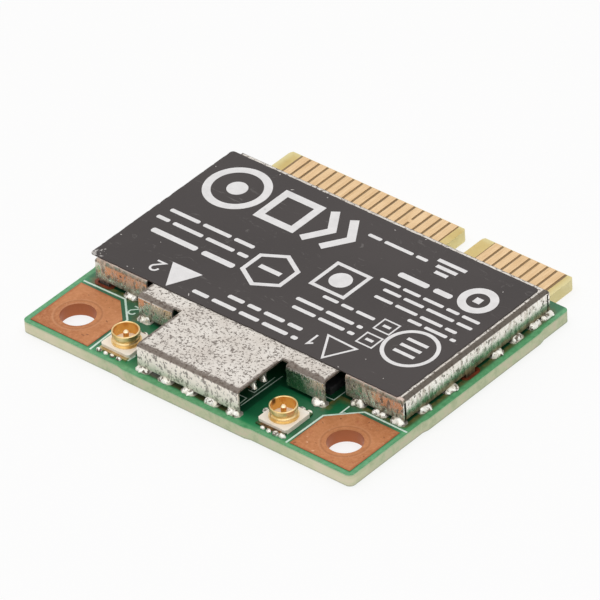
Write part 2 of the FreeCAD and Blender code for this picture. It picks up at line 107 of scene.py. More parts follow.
# Antenna sockets
socket_x = 7.125
socket_y = -11.03
shell_bore_r = 0.88
shell_outer_r = 1.2
pin_zone_r = 0.4

# Thickness of print, the gap that counts as touching and the distance at which points are joined
film = 0.004
touch = 0.001
weld = 0.0002

# Camera: where it stands round the card, in degrees and millimetres
camera_azimuth = 42.405
camera_elevation = 36.356
camera_roll = -3.55
camera_distance = 535.124
camera_right = 6.472
camera_up = 5.701
camera_target = (0, -10.5, 0)
focal_px = 7812.756
image_px = 600
sensor_mm = 36
nearest_m = 0.01
farthest_m = 20

# Light and floor, with their lengths in metres and linear colours of four numbers
bright_side = (-0.42, 0.46, 0.78)
dim = (0.20, 0.19, 0.18, 1)
white = (1, 1, 1, 1)
softbox_place = (0.3, -0.4, 1.0)
softbox_size = 2.0
softbox_power = 7.6
floor_half = 1.5
floor_level = -0.02 * mm
floor_grey = (0.97, 0.97, 0.97, 1)
floor_shade = 0.25


def linear(colour):
    """A screen colour, three numbers up to 255, as the linear one of four that a shader takes."""
    def channel(value):
        value /= 255
        return value / 12.92 if value <= 0.04045 else ((value + 0.055) / 1.055) ** 2.4
    return colour if len(colour) == 4 else (*map(channel, colour), 1)


# ------------------------------------------------ camera, light and floor

def place_camera():
    a, e, r = (math.radians(v) for v in (camera_azimuth, camera_elevation, camera_roll))
    back = Vector((math.sin(a) * math.cos(e), -math.cos(a) * math.cos(e), math.sin(e)))
    right = Vector((math.cos(a), math.sin(a), 0))
    up = back.cross(right)
    place = Vector(camera_target) + back * camera_distance + right * camera_right + up * camera_up
    turned_right = right * math.cos(r) + up * math.sin(r)
    turned_up = up * math.cos(r) - right * math.sin(r)
    pose = Matrix((turned_right, turned_up, back)).transposed().to_4x4()
    pose.translation = place * mm
    data = bpy.data.cameras.new("camera")
    data.sensor_width = sensor_mm
    data.lens = focal_px / image_px * sensor_mm
    data.clip_start = nearest_m
    data.clip_end = farthest_m
    camera = bpy.data.objects.new("camera", data)
    camera.matrix_world = pose
    bpy.context.scene.collection.objects.link(camera)
    bpy.context.scene.camera = camera


def make_softbox():
    data = bpy.data.lights.new("softbox", "AREA")
    data.shape = "SQUARE"
    data.size = softbox_size
    data.energy = softbox_power
    lamp = bpy.data.objects.new("softbox", data)
    lamp.location = softbox_place
    lamp.rotation_euler = (-Vector(softbox_place)).to_track_quat("-Z", "Y").to_euler()
    bpy.context.scene.collection.objects.link(lamp)


def make_world():
    """Soft light from above and behind, dim round the other sides; the ground seen is plain white."""
    world = bpy.data.worlds.new("studio")
    world.use_nodes = True
    g = Graph(world.node_tree)
    g.tree.nodes.clear()
    lit_side = g.node("ShaderNodeVectorMath", operation="DOT_PRODUCT")
    g.link(g.node("ShaderNodeTexCoord").outputs["Generated"], lit_side.inputs[0])
    lit_side.inputs[1].default_value = bright_side
    shade = g.ramp(lit_side.outputs["Value"], (0.34, dim), (0.66, white))
    ray = g.node("ShaderNodeLightPath").outputs
    seen = g.most(ray["Is Camera Ray"], ray["Is Glossy Ray"], ray["Is Transmission Ray"])
    g.put_out("ShaderNodeOutputWorld", seen, g.shader("ShaderNodeBackground", shade),
              g.shader("ShaderNodeBackground", white))
    bpy.context.scene.world = world


def make_floor():
    """A pale light table under the card, which keeps a soft shadow."""
    mesh = bpy.data.meshes.new("floor")
    signs = ((-1, -1), (1, -1), (1, 1), (-1, 1))
    mesh.from_pydata([(x * floor_half, y * floor_half, floor_level) for x, y in signs], [], [(0, 1, 2, 3)])
    floor = bpy.data.objects.new("floor", mesh)
    bpy.context.scene.collection.objects.link(floor)
    material = bpy.data.materials.new("floor")
    material.use_nodes = True
    g = Graph(material.node_tree)
    g.tree.nodes.clear()
    g.put_out("ShaderNodeOutputMaterial", floor_shade, g.shader("ShaderNodeEmission", white),
              g.shader("ShaderNodeBsdfDiffuse", floor_grey))
    mesh.materials.append(material)


# ------------------------------------------------ node helpers

coat_roughness = 0.12


class Graph:
    """Short calls for building one node tree. Lengths are in millimetres."""

    def __init__(self, tree):
        self.tree = tree

    def node(self, kind, **settings):
        made = self.tree.nodes.new(kind)
        for name, value in settings.items():
            setattr(made, name, value)
        return made

    def link(self, out, into):
        self.tree.links.new(out, into)

    def feed(self, value, into):
        """Link a socket into another, or set a number or a colour on it."""
        if hasattr(value, "links"):
            self.link(value, into)
        else:
            into.default_value = linear(value) if isinstance(value, tuple) else value

    def shader(self, kind, colour):
        made = self.node(kind)
        self.feed(colour, made.inputs["Color"])
        return made.outputs[0]

    def put_out(self, kind, fac, a, b):
        """Two shaders, mixed and sent to the tree's output."""
        mix = self.node("ShaderNodeMixShader")
        for value, into in zip((fac, a, b), mix.inputs):
            self.feed(value, into)
        self.link(mix.outputs[0], self.node(kind).inputs["Surface"])

    def place(self):
        return self.node("ShaderNodeTexCoord").outputs["Object"]

    def axes(self):
        """X, Y and Z of the place on the card."""
        split = self.node("ShaderNodeSeparateXYZ")
        self.link(self.place(), split.inputs[0])
        return [self.times(axis, 1 / mm) for axis in split.outputs]

    def stretched(self, x, y, z):
        """The place, stretched along each axis before a texture reads it."""
        scaled = self.node("ShaderNodeVectorMath", operation="MULTIPLY")
        self.link(self.place(), scaled.inputs[0])
        scaled.inputs[1].default_value = (x, y, z)
        return scaled.outputs[0]

    def facing_up(self):
        """1 on faces that lie flat, 0 on upright ones."""
        split = self.node("ShaderNodeSeparateXYZ")
        self.link(self.node("ShaderNodeNewGeometry").outputs["Normal"], split.inputs[0])
        return self.size(split.outputs[2])

    def noise(self, per_mm, detail=2.0, roughness=0.5, vector=None, distortion=0.0):
        made = self.node("ShaderNodeTexNoise")
        self.link(vector or self.place(), made.inputs["Vector"])
        made.inputs["Scale"].default_value = per_mm / mm
        made.inputs["Detail"].default_value = detail
        made.inputs["Roughness"].default_value = roughness
        made.inputs["Distortion"].default_value = distortion
        return made.outputs["Fac"]

    def math(self, operation, *values):
        """One operation on two or more values, from left to right."""
        total = values[0]
        for value in values[1:]:
            made = self.node("ShaderNodeMath", operation=operation)
            self.feed(total, made.inputs[0])
            self.feed(value, made.inputs[1])
            total = made.outputs[0]
        return total

    add = partialmethod(math, "ADD")
    minus = partialmethod(math, "SUBTRACT")
    times = partialmethod(math, "MULTIPLY")
    most = partialmethod(math, "MAXIMUM")
    least = partialmethod(math, "MINIMUM")
    above = partialmethod(math, "GREATER_THAN")
    below = partialmethod(math, "LESS_THAN")

    def rest(self, share):
        """What a share leaves of 1."""
        return self.minus(1, share)

    def size(self, value):
        """A value without its sign."""
        return self.math("ABSOLUTE", value, 0)

    def from_line(self, value, line):
        """How far a place is from a line, on either side of it."""
        return self.size(self.minus(value, line))

    def distance(self, dx, dy):
        """Straight distance, from its lengths along X and Y."""
        return self.math("SQRT", self.add(self.times(dx, dx), self.times(dy, dy)), 0)

    def ragged(self, value, grain, reach):
        """A value that a noise moves up and down by up to half the reach."""
        return self.add(value, self.times(self.minus(grain, 0.5), reach))

    def outside(self, x, y, boxes):
        """Distance of a point of the card from a group of boxes in plan."""
        gaps = []
        for x0, x1, y0, y1 in boxes:
            dx = self.most(self.minus(self.from_line(x, (x0 + x1) / 2), (x1 - x0) / 2), 0)
            dy = self.most(self.minus(self.from_line(y, (y0 + y1) / 2), (y1 - y0) / 2), 0)
            gaps.append(self.distance(dx, dy))
        return self.least(*gaps)

    def scale(self, value, low, high, to_low=0.0, to_high=1.0):
        """A share that goes from one end to the other while a value goes from low to high."""
        made = self.node("ShaderNodeMapRange", clamp=True)
        self.feed(value, made.inputs["Value"])
        ends = (("From Min", low), ("From Max", high), ("To Min", to_low), ("To Max", to_high))
        for name, number in ends:
            made.inputs[name].default_value = number
        return made.outputs["Result"]

    def ramp(self, fac, *stops):
        made = self.node("ShaderNodeValToRGB")
        elements = made.color_ramp.elements
        while len(elements) < len(stops):
            elements.new(0.5)
        for element, (position, colour) in zip(elements, stops):
            element.position = position
            element.color = linear(colour)
        self.feed(fac, made.inputs[0])
        return made.outputs["Color"]

    def blend(self, fac, a, b):
        """Two colours mixed. Sockets 6 and 7 are A and B for colours."""
        made = self.node("ShaderNodeMix", data_type="RGBA")
        for value, number in ((fac, 0), (a, 6), (b, 7)):
            self.feed(value, made.inputs[number])
        return made.outputs[2]


class Surface(Graph):
    """The node tree of one material."""

    def __init__(self, name, metallic=0.0, coat=0.0, specular=0.5):
        self.material = bpy.data.materials.new(name)
        self.material.use_nodes = True
        super().__init__(self.material.node_tree)
        self.inputs = self.tree.nodes["Principled BSDF"].inputs
        self.inputs["Metallic"].default_value = metallic
        self.inputs["Coat Weight"].default_value = coat
        self.inputs["Coat Roughness"].default_value = coat_roughness
        self.inputs["Specular IOR Level"].default_value = specular

    def finished(self, colour, roughness, height, depth):
        """The material, with its colour, its roughness and a relief of some depth."""
        bump = self.node("ShaderNodeBump")
        bump.inputs["Distance"].default_value = depth * mm
        self.link(height, bump.inputs["Height"])
        self.link(colour, self.inputs["Base Color"])
        self.link(roughness, self.inputs["Roughness"])
        self.link(bump.outputs["Normal"], self.inputs["Normal"])
        return self.material


# ------------------------------------------------ materials

def board_material():
    """Green mask over glass epoxy: paler at the rim, with a painted sheen near the edges, bare on the
    tongue, cream on its cut edges; painted shade under the can, in the gaps between the contacts and along
    the foot of the cut edges.
    """
    g = Surface("circuit_board", coat=0.12)
    x, y, z = g.axes()
    from_middle = g.size(x)
    grain = g.noise(0.35, 3, 0.55)
    fine = g.noise(3.2, 3, 0.6)
    layers = g.noise(1.0, 2, 0.5, g.stretched(0.2, 0.2, 5))

    # Mask: stained by flux beside the can, with painted shade under it, and brown flux darkened by painted
    # shade at the extension's feet
    mask = g.ramp(grain, (0.3, (12, 86, 52)), (0.7, (24, 110, 68)))
    rim = g.add(g.least(g.minus(side_x, from_middle), g.minus(y, front_y)), g.times(fine, 0.12))
    # Painted sheen: the mask is made paler within about 1.5 mm of the board's edges
    mask = g.blend(g.scale(rim, 0.4, 1.5, 0.75, 0), mask, (44, 150, 92))
    from_can = g.outside(x, y, can_boxes)
    top_side = g.above(z, board_middle_z)
    beside = g.times(g.above(from_can, touch), top_side,
                     g.most(g.above(from_middle, step_right_x), g.above(y, 0)))
    strip = g.times(g.above(from_middle, flank_x), g.above(y, can_front_y), beside)
    mask = g.blend(g.times(strip, 0.6), mask, (34, 100, 60))
    stain = g.scale(g.ragged(from_can, fine, 0.7), 0.12, 0.62, 0.85, 0)
    stain_tone = g.ramp(g.noise(2.2, 3, 0.6), (0.35, (66, 76, 38)), (0.65, (122, 108, 58)))
    mask = g.blend(g.times(stain, beside), mask, stain_tone)
    # Painted shade: the mask is darkened where the can covers it
    shade_under_can = g.times(g.below(from_can, touch), top_side)
    mask = g.blend(g.times(shade_under_can, 0.6), mask, (8, 38, 26))
    # Brown flux along the extension's front wall, darkened as painted shade where the wall stands on the
    # board
    foot_gap = g.ragged(g.from_line(y, extension_front_y), fine, 0.25)
    at_foot = g.times(g.below(g.from_line(x, extension_middle_x), extension_half), top_side,
                      g.scale(foot_gap, 0.14, 0.3, 0.85, 0))
    mask = g.blend(at_foot, mask, (70, 58, 28))
    pale_mask = g.ramp(fine, (0.35, (74, 150, 98)), (0.65, (98, 172, 118)))
    green = g.blend(g.scale(rim, 0.34, 0.52, 1, 0), mask, pale_mask)

    # Tongue: bare epoxy, darker between the contacts, partly its own brown and partly painted shade
    on_tongue = g.above(y, shoulder_y + mask_lap)
    tongue_edge = g.least(g.minus(tongue_x, from_middle), g.minus(tip_y, y))
    epoxy = g.ramp(g.noise(0.6, 3, 0.5), (0.3, (206, 178, 98)), (0.7, (224, 200, 130)))
    epoxy = g.blend(g.scale(tongue_edge, 0.1, 0.6, 0.75, 0), epoxy, (232, 222, 164))
    gap_tone_and_shade = g.ramp(grain, (0.3, (120, 92, 50)), (0.7, (146, 114, 66)))
    rows = [g.times(g.above(x, start), g.below(x, end)) for start, end in contact_rows]
    in_row = g.times(g.add(*rows), g.below(y, contact_end_y))
    flat = g.blend(on_tongue, green, g.blend(in_row, epoxy, gap_tone_and_shade))

    # Cut edges: mottled where the tabs were snapped off and along the sides
    edge_tone = g.add(g.times(layers, 0.3), g.times(g.noise(0.5, 4, 0.6), 0.7))
    cut = g.ramp(edge_tone, (0.34, (204, 208, 168)), (0.5, (222, 220, 184)), (0.66, (234, 224, 196)))
    snapped = g.times(g.scale(from_middle, 7, 10.5, 0.85, 0), g.below(y, front_y + 0.5))
    at_side = g.times(g.above(from_middle, side_edge_x), g.scale(y, front_y + 0.5, front_y + 2.5, 0, 0.8))
    mottled = g.ramp(g.noise(1.3, 4, 0.7), (0.36, (172, 186, 146)), (0.5, (194, 203, 166)),
                     (0.64, (206, 200, 172)))
    cut = g.blend(g.most(snapped, at_side), cut, mottled)
    cut = g.blend(g.scale(z, mask_z - 0.16, mask_z - 0.03, 0, 0.6), cut, (146, 184, 142))
    # Painted shadow: the cut edges are darkened along their foot, next to the floor
    cut = g.blend(g.scale(z, 0.05, 0.16, 0.55, 0), cut, (120, 124, 104))
    tongue_cut = g.ramp(edge_tone, (0.34, (228, 214, 152)), (0.66, (240, 230, 178)))
    edge = g.blend(on_tongue, cut, tongue_cut)

    lit = g.scale(g.facing_up(), 0.4, 0.75)
    return g.finished(g.blend(lit, edge, flat), g.scale(lit, 0, 1, 0.75, 0.34),
                      g.add(fine, g.times(layers, 0.3)), 0.008)


def copper_material():
    """Bare copper: clouded, with painted shade along the land's border, and rubbed round the hole."""
    g = Surface("bare_copper", metallic=0.3, specular=0.35)
    x, y, _ = g.axes()
    from_middle = g.size(x)
    cloud = g.noise(0.28, 4, 0.6, distortion=0.6)
    blotch = g.noise(1.6, 3, 0.6)
    spots = g.noise(2.6, 2, 0.5)
    colour = g.ramp(cloud, (0.3, (174, 104, 58)), (0.52, (194, 126, 78)), (0.72, (208, 142, 96)))
    colour = g.blend(g.scale(blotch, 0.62, 0.74, 0, 0.5), colour, (172, 88, 56))
    colour = g.blend(g.scale(g.noise(4.5, 3, 0.65), 0.42, 0.66, 0, 0.4), colour, (222, 156, 108))
    colour = g.blend(g.scale(spots, 0.7, 0.74, 0, 0.7), colour, (112, 64, 42))
    colour = g.blend(g.scale(spots, 0.27, 0.23, 0, 0.6), colour, (236, 196, 160))
    side_gap = g.minus(land_half, g.from_line(from_middle, land_x))
    front_gap = g.minus(land_half, g.from_line(y, land_y))
    border = g.add(g.least(side_gap, front_gap), g.times(blotch, 0.3))
    # Painted shade: darker, redder copper along the land's border with the mask
    colour = g.blend(g.scale(border, 0.16, 0.34, 0.6, 0), colour, (160, 78, 44))

    # A dark and a light line that the screw's washer has rubbed, and the plated wall of the hole
    ring = g.distance(g.minus(from_middle, hole_x), g.minus(y, hole_y))
    marks = ((washer_r, (0.15, 0.5), (146, 84, 46)), (washer_r + 0.1, (0.5, 0.1), (222, 164, 120)))
    for r, shares, tone in marks:
        mark = g.scale(g.from_line(ring, r), 0, rub_width, 1, 0)
        colour = g.blend(g.times(mark, g.scale(cloud, 0.3, 0.6, *shares)), colour, tone)
    in_hole = g.times(g.below(ring, hole_r + 0.02), g.scale(g.facing_up(), 0.3, 0.6, 1, 0))
    colour = g.blend(in_hole, colour, (178, 104, 62))
    lip = g.scale(ring, hole_r, hole_r + 0.14, 3, 0)
    return g.finished(colour, g.scale(cloud, 0.3, 0.7, 0.36, 0.5), g.add(g.noise(6, 2), lip), 0.008)


def contact_material():
    """Gold plating of the contacts: a soft cloud of two tones, with fine lines along Y."""
    g = Surface("contact_gold", metallic=0.3)
    fine = g.noise(5, 2, 0.5)
    lines = g.noise(4.5, 2, 0.6, g.stretched(1.6, 0.12, 1))
    tone = g.add(g.times(g.noise(0.8, 3, 0.55), 0.35), g.times(lines, 0.65))
    return g.finished(g.ramp(tone, (0.35, (226, 188, 138)), (0.65, (244, 210, 164))),
                      g.scale(fine, 0.3, 0.7, 0.36, 0.48), fine, 0.004)


def shell_material():
    """Gold shell and pin: pale outside and on top, with a painted deep orange inside the ring standing in
    for light bounced between its gold walls.
    """
    g = Surface("shell_gold", metallic=0.85, specular=0.6)
    x, y, z = g.axes()
    dx = g.minus(g.size(x), socket_x)
    dy = g.minus(y, socket_y)
    ring = g.distance(dx, dy)
    colour = g.ramp(g.noise(1.2, 3, 0.55), (0.35, (220, 186, 122)), (0.65, (246, 220, 168)))
    # Painted reflection: the bore and the lower pin are turned deep orange, as light bounced inside the gold
    # ring would make them
    in_bore = g.times(g.scale(ring, shell_bore_r + 0.01, shell_bore_r + 0.05, 1, 0),
                      g.scale(z, shell_top - 0.06, shell_top - 0.02, 1, 0))
    pin_head = g.times(g.below(ring, pin_zone_r), g.scale(z, pin_top - 0.2, pin_top - 0.1))
    colour = g.blend(g.times(in_bore, g.rest(pin_head), 0.85), colour, (230, 178, 88))
    colour = g.blend(pin_head, colour, (250, 228, 192))

    # The dark mark in the right ring
    from_mark = g.distance(g.minus(x, socket_x - 0.87), dy)
    mark = g.times(g.scale(from_mark, 0.12, 0.24, 0.85, 0),
                   g.scale(z, shell_top - 0.5, shell_top - 0.3))
    colour = g.blend(mark, colour, (70, 42, 20))

    # Ground tab: brown with flux and with painted shade under the base, most on the right socket, and green
    # at its ends
    on_tab = g.times(g.scale(z, mask_z + 0.14, mask_z + 0.18, 1, 0), g.above(ring, shell_outer_r))
    flux_and_shade = g.ramp(g.noise(2.4, 3, 0.6), (0.4, (58, 36, 18)), (0.62, (150, 108, 58)))
    flux_and_shade = g.blend(g.scale(g.size(dx), 0.85, 1.0), flux_and_shade, (26, 92, 56))
    colour = g.blend(g.times(on_tab, g.scale(x, -1, 1, 0.35, 0.9)), colour, flux_and_shade)
    return g.finished(colour, g.scale(g.noise(3, 2), 0.3, 0.7, 0.26, 0.36), g.noise(6, 2), 0.003)


def tin_material():
    """Tinned sheet: small dark pits all over it, streaks down its walls, dull folds darkened as a painted
    reflection, the board's green painted on its walls as a reflection and painted shade at their foot.
    """
    g = Surface("tinned_sheet")
    x, y, z = g.axes()
    from_middle = g.size(x)
    flat = g.scale(g.facing_up(), 0.6, 0.9)
    upright = g.rest(flat)
    at_front = g.times(g.below(y, extension_front_y + 0.1), upright)
    on_flank = g.above(from_middle, flank_x)
    cloud = g.noise(0.5, 2, 0.5)
    streaks = g.noise(3.2, 3, 0.65, g.stretched(1, 1, 0.34))
    tide = g.ragged(z, g.noise(3.4, 4, 0.65, g.stretched(1, 1, 0.5)), 1)
    low = g.ragged(z, g.noise(2.6, 4, 0.65), 1.3)

    # Sheet and its pits
    dashes = g.noise(3.6, 2, 0.6, g.stretched(1, 1.8, 1), distortion=0.2)
    top_pits = g.most(g.scale(g.noise(5.2, 2, 0.6), 0.55, 0.62), g.scale(dashes, 0.6, 0.66))
    wall_pits = g.scale(g.noise(3.4, 2, 0.55, g.stretched(1, 1, 0.65)), 0.56, 0.61)
    front_pits = g.scale(g.noise(4.8, 2, 0.6, g.stretched(1, 1, 0.75)), 0.55, 0.61)
    pits = g.blend(flat, g.most(wall_pits, g.times(at_front, front_pits)), top_pits)
    top_tone = g.ramp(cloud, (0.35, (216, 208, 199)), (0.65, (231, 225, 217)))
    wall_tone = g.ramp(cloud, (0.35, (238, 232, 223)), (0.65, (250, 246, 239)))
    colour = g.blend(g.times(pits, 0.8), g.blend(flat, wall_tone, top_tone), (100, 89, 82))

    # Painted reflection: the left half of the step's right wall shows the board's green, free of frost and
    # flux
    step_wall_reflection = g.times(g.scale(g.add(x, g.times(tide, 0.5)), 7.3, 8.1, 1, 0), g.above(x, extension_right_x),
                    g.below(y, step_front_y + 0.1), g.above(y, step_front_y - 0.05),
                    g.scale(z, can_top - 0.45, can_top - 0.3, 0.9, 0))

    # Pale frost on the walls, with the green board painted low on the extension's front as a reflection
    frost = g.times(g.scale(streaks, 0.48, 0.64), g.scale(z, mask_z + 0.5, can_top - 0.3, 0.3, 0.8),
                    upright, g.rest(step_wall_reflection))
    frost = g.most(frost, g.times(at_front, g.minus(0.8, g.times(pits, 0.7))))
    colour = g.blend(frost, colour, g.blend(at_front, (224, 214, 200), (255, 246, 235)))
    low_board_reflection = g.times(at_front, g.scale(low, mask_z + 0.5, mask_z + 1.05, 0.28, 0))
    colour = g.blend(low_board_reflection, colour, (186, 204, 172))

    # Side walls: the green board painted up them as a reflection, dark in the slits, flux at the foot of
    # every wall darkened to painted shade at the very bottom, and brown flux low on the side walls
    flank = g.times(on_flank, upright, g.above(y, slit_y))
    flank_reflection_green = g.ramp(streaks, (0.36, (62, 106, 72)), (0.64, (148, 178, 148)))
    flank_brown = g.ramp(streaks, (0.36, (90, 80, 54)), (0.64, (150, 138, 104)))
    flank_board_reflection = g.times(flank, g.scale(tide, mask_z + 0.75, mask_z + 1.25, 0.85, 0))
    colour = g.blend(flank_board_reflection, colour, flank_reflection_green)
    slit = g.times(g.below(g.from_line(y, slit_y), 0.1), on_flank, g.below(z, can_top - 0.32))
    colour = g.blend(g.times(slit, 0.95), colour, (24, 18, 15))
    flux_and_shade = g.times(g.scale(low, mask_z + 0.25, mask_z + 0.75, 0.8, 0), upright,
                   g.rest(g.times(at_front, 0.85)), g.rest(step_wall_reflection))
    flux_and_shade_tone = g.ramp(streaks, (0.4, (62, 74, 44)), (0.62, (122, 112, 72)))
    # Painted shade: near black at the very foot of each wall
    flux_and_shade_tone = g.blend(g.scale(z, mask_z + 0.2, mask_z + 0.4), (40, 32, 20), flux_and_shade_tone)
    colour = g.blend(flux_and_shade, colour, flux_and_shade_tone)
    foot_stain = g.times(flank, g.scale(tide, mask_z + 0.45, mask_z + 0.7, 0.9, 0))
    colour = g.blend(foot_stain, colour, flank_brown)
    # Painted reflection of the board's green on the step's right wall
    colour = g.blend(step_wall_reflection, colour, (116, 164, 128))

    # Folds, and the rolled edges of the open sides, measured from each edge of the top: dark bands of
    # painted reflection, as the bends would mirror darker surroundings
    grain = g.noise(4.2, 3, 0.65)
    x_side = g.minus(g.from_line(x, extension_middle_x), extension_half)
    front_line = g.minus(step_front_y, g.times(g.below(x_side, 0), step_front_y - extension_front_y))
    front_fold = g.scale(g.ragged(g.minus(y, front_line), grain, 0.9), 0.36, 0.5, 1, 0)
    edge_roll = g.times(g.scale(g.ragged(x_side, grain, 0.27), -0.24, -0.12), g.below(y, step_front_y))
    step_side = g.minus(step_right_x, from_middle)
    step_roll = g.times(g.scale(g.ragged(step_side, grain, 0.27), 0.1, 0.22, 1, 0), g.below(y, can_front_y))
    top_fold = g.times(g.most(front_fold, edge_roll, step_roll),
                       g.scale(z, can_top - 0.24, can_top - 0.16))
    on_bend = g.scale(z, can_top - 0.26, can_top - 0.2)
    bend = g.times(on_bend, g.scale(g.ragged(z, grain, 0.054), can_top - 0.04, can_top - 0.015, 1, 0))
    face_gap = g.least(g.minus(can_right_x, x), g.minus(x, can_left_x))
    side_fold = g.times(g.scale(g.ragged(face_gap, grain, 0.072), 0.28, 0.34, 1, 0), on_bend)
    low_fold = g.times(g.most(bend, side_fold), g.above(y, can_front_y + 0.3))
    # Band under the label on the front walls: mottled green, brown and pink, with a painted highlight line
    # at its top
    under_label = g.times(g.below(y, can_front_y + 0.3), g.above(from_middle, step_right_x),
                          g.scale(g.ragged(z, grain, 0.27), can_top - 0.42, can_top - 0.28, 0, 0.8))
    bend_tone = g.ramp(streaks, (0.38, (76, 92, 66)), (0.52, (128, 112, 88)), (0.66, (206, 176, 152)))
    bend_tone = g.blend(g.scale(z, can_top - 0.13, can_top - 0.08), bend_tone, (214, 190, 176))
    fold = g.most(top_fold, low_fold)
    colour = g.blend(g.times(fold, 0.85), colour, (98, 83, 71))
    colour = g.blend(g.times(low_fold, 0.6), colour, (74, 68, 56))
    colour = g.blend(under_label, colour, bend_tone)

    # Bright metal, duller where it is frosted or stained, and where shade and reflections are painted at the
    # foot and in the folds
    fold = g.most(fold, under_label)
    flux_and_shade = g.most(flux_and_shade, foot_stain)
    rough = g.add(g.scale(cloud, 0.3, 0.7, 0.15, 0.24), g.times(pits, 0.3), g.times(g.add(fold, flux_and_shade), 0.2),
                  g.times(frost, 0.2))
    dull = g.most(frost, slit, fold, flux_and_shade)
    g.link(g.minus(0.9, g.times(dull, 0.65)), g.inputs["Metallic"])
    relief = g.minus(g.times(g.blend(flat, streaks, cloud), 1.4), g.times(pits, 0.5))
    return g.finished(colour, rough, relief, 0.028)


def solder_material():
    """Bright solder with a slightly wavy skin and brown specks of flux."""
    g = Surface("solder", metallic=0.35, specular=0.6)
    cloud = g.noise(1.8, 3, 0.6)
    spots = g.scale(g.noise(3.0, 3, 0.65), 0.53, 0.59, 0, 0.9)
    tone = g.ramp(cloud, (0.32, (238, 233, 217)), (0.55, (255, 253, 246)))
    return g.finished(g.blend(spots, tone, (84, 68, 44)), g.scale(cloud, 0.35, 0.65, 0.36, 0.22),
                      g.noise(3, 2), 0.04)


def label_material():
    """Dark print film with a soft sheen, worn to pale flakes at its left corner."""
    g = Surface("label_film", specular=0.28)
    x, y, _ = g.axes()
    cloud = g.noise(0.12, 3, 0.5)
    film_tone = g.ramp(cloud, (0.35, (62, 56, 55)), (0.65, (70, 64, 63)))
    scratches = g.noise(1.0, 2, 0.5, g.stretched(0.35, 4.2, 1), distortion=0.4)
    smears = g.noise(0.9, 4, 0.7, g.stretched(0.6, 1.4, 1), distortion=1.2)
    at_corner = g.times(g.scale(x, -14.1, -13.2, 1, 0), g.scale(y, -6.5, -5.3, 1, 0))
    chips = g.scale(g.add(g.noise(2.4, 4, 0.7), g.times(at_corner, 0.12)), 0.61, 0.66, 0, 0.9)
    worn = g.most(g.scale(scratches, 0.74, 0.78, 0, 0.16), g.scale(smears, 0.62, 0.74, 0, 0.14),
                  g.times(chips, g.above(at_corner, 0.02)))
    return g.finished(g.blend(worn, film_tone, (196, 192, 188)), g.scale(cloud, 0.3, 0.7, 0.46, 0.56),
                      g.add(g.noise(9, 2, 0.5), g.times(g.noise(0.3, 2), 2)), 0.004)


def plain_material(name, dark, light, low, high, per_mm, depth, metallic=0.0):
    """Moulded, printed or fired surface: two tones in a soft pattern, with its own grain."""
    g = Surface(name, metallic=metallic)
    fine = g.noise(per_mm * 7, 2, 0.5)
    tone = g.add(g.times(g.noise(per_mm, 3, 0.55), 0.7), g.times(fine, 0.3))
    return g.finished(g.ramp(tone, (0.35, dark), (0.65, light)), g.scale(tone, 0.3, 0.7, low, high),
                      fine, depth)


# Plain surfaces: name, dark and light tone, roughness of each, patches to a millimetre, depth of the
# relief in millimetres and, where it isn't 0, the metallic share
plain_surfaces = (
    ("slot_copper", (104, 44, 22), (150, 72, 42), 0.35, 0.5, 2, 0.01, 0.5),
    ("tinned_copper", (206, 200, 186), (232, 228, 218), 0.3, 0.42, 2, 0.01, 0.6),
    ("bright_solder", (240, 236, 226), (252, 250, 244), 0.16, 0.26, 3, 0.01, 0.9),
    ("socket_plastic", (252, 240, 224), (255, 248, 237), 0.45, 0.6, 1.2, 0.006),
    ("chip_moulding", (26, 26, 28), (44, 44, 46), 0.55, 0.7, 3, 0.01),
    ("chip_ceramic", (196, 190, 176), (214, 210, 198), 0.4, 0.5, 2, 0.006),
    ("capacitor_ceramic", (120, 88, 58), (152, 116, 80), 0.35, 0.5, 2, 0.006),
    ("resistor_ceramic", (18, 18, 22), (34, 34, 38), 0.3, 0.45, 2, 0.006),
    ("ferrite", (44, 44, 46), (66, 66, 68), 0.6, 0.75, 2, 0.012),
    ("label_print", (226, 224, 224), (238, 236, 236), 0.45, 0.55, 1.5, 0.003),
    ("silkscreen", (188, 222, 202), (226, 240, 230), 0.5, 0.6, 2.5, 0.004),
    ("label_fleck", (176, 170, 166), (222, 218, 214), 0.5, 0.6, 4, 0.004),
)


def make_surfaces():
    """Every surface of the card, by its name."""
    surfaces = {
        "circuit_board": board_material(),
        "bare_copper": copper_material(),
        "gold_plating": contact_material(),
        "shell_gold": shell_material(),
        "tinned_sheet": tin_material(),
        "solder": solder_material(),
        "label_film": label_material(),
    }
    surfaces.update((row[0], plain_material(*row)) for row in plain_surfaces)
    return surfaces


# ------------------------------------------------ mesh helpers

# Lumps stay sharp where they meet a flat face at more than this angle, in degrees
sharp_angle = 62

# Round shapes take this many steps, and a sharp corner's mitre is cut off at this share
ring_steps = 72
disc_steps = 48
mitre_share = 0.35

# Small print: length of a word, space between two and thickness of a bar, as shares of its height
word_share = (1.2, 4.2)
space_share = 0.5
bar_share = 0.5


def piece(name, points, faces, surface, smooth=False):
    """A mesh piece of the card, from points in millimetres."""
    mesh = bpy.data.meshes.new(name)
    mesh.from_pydata([tuple(value * mm for value in point) for point in points], [], faces)
    build = bmesh.new()
    build.from_mesh(mesh)
    if smooth:
        bmesh.ops.remove_doubles(build, verts=build.verts, dist=weld * mm)
    bmesh.ops.recalc_face_normals(build, faces=build.faces)
    build.to_mesh(mesh)
    build.free()
    mesh.update()
    if smooth:
        mesh.shade_smooth()
        mesh.set_sharp_from_angle(angle=math.radians(sharp_angle))
    mesh.materials.append(surface)
    made = bpy.data.objects.new(name, mesh)
    bpy.context.scene.collection.objects.link(made)
    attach(made, "root")
    return made


def circle(x, y, r, steps, turn=0):
    """Points spread evenly round a circle, the first of them turned by some degrees."""
    angles = [math.radians(turn + 360 * i / steps) for i in range(steps)]
    return [(x + r * math.cos(a), y + r * math.sin(a)) for a in angles]


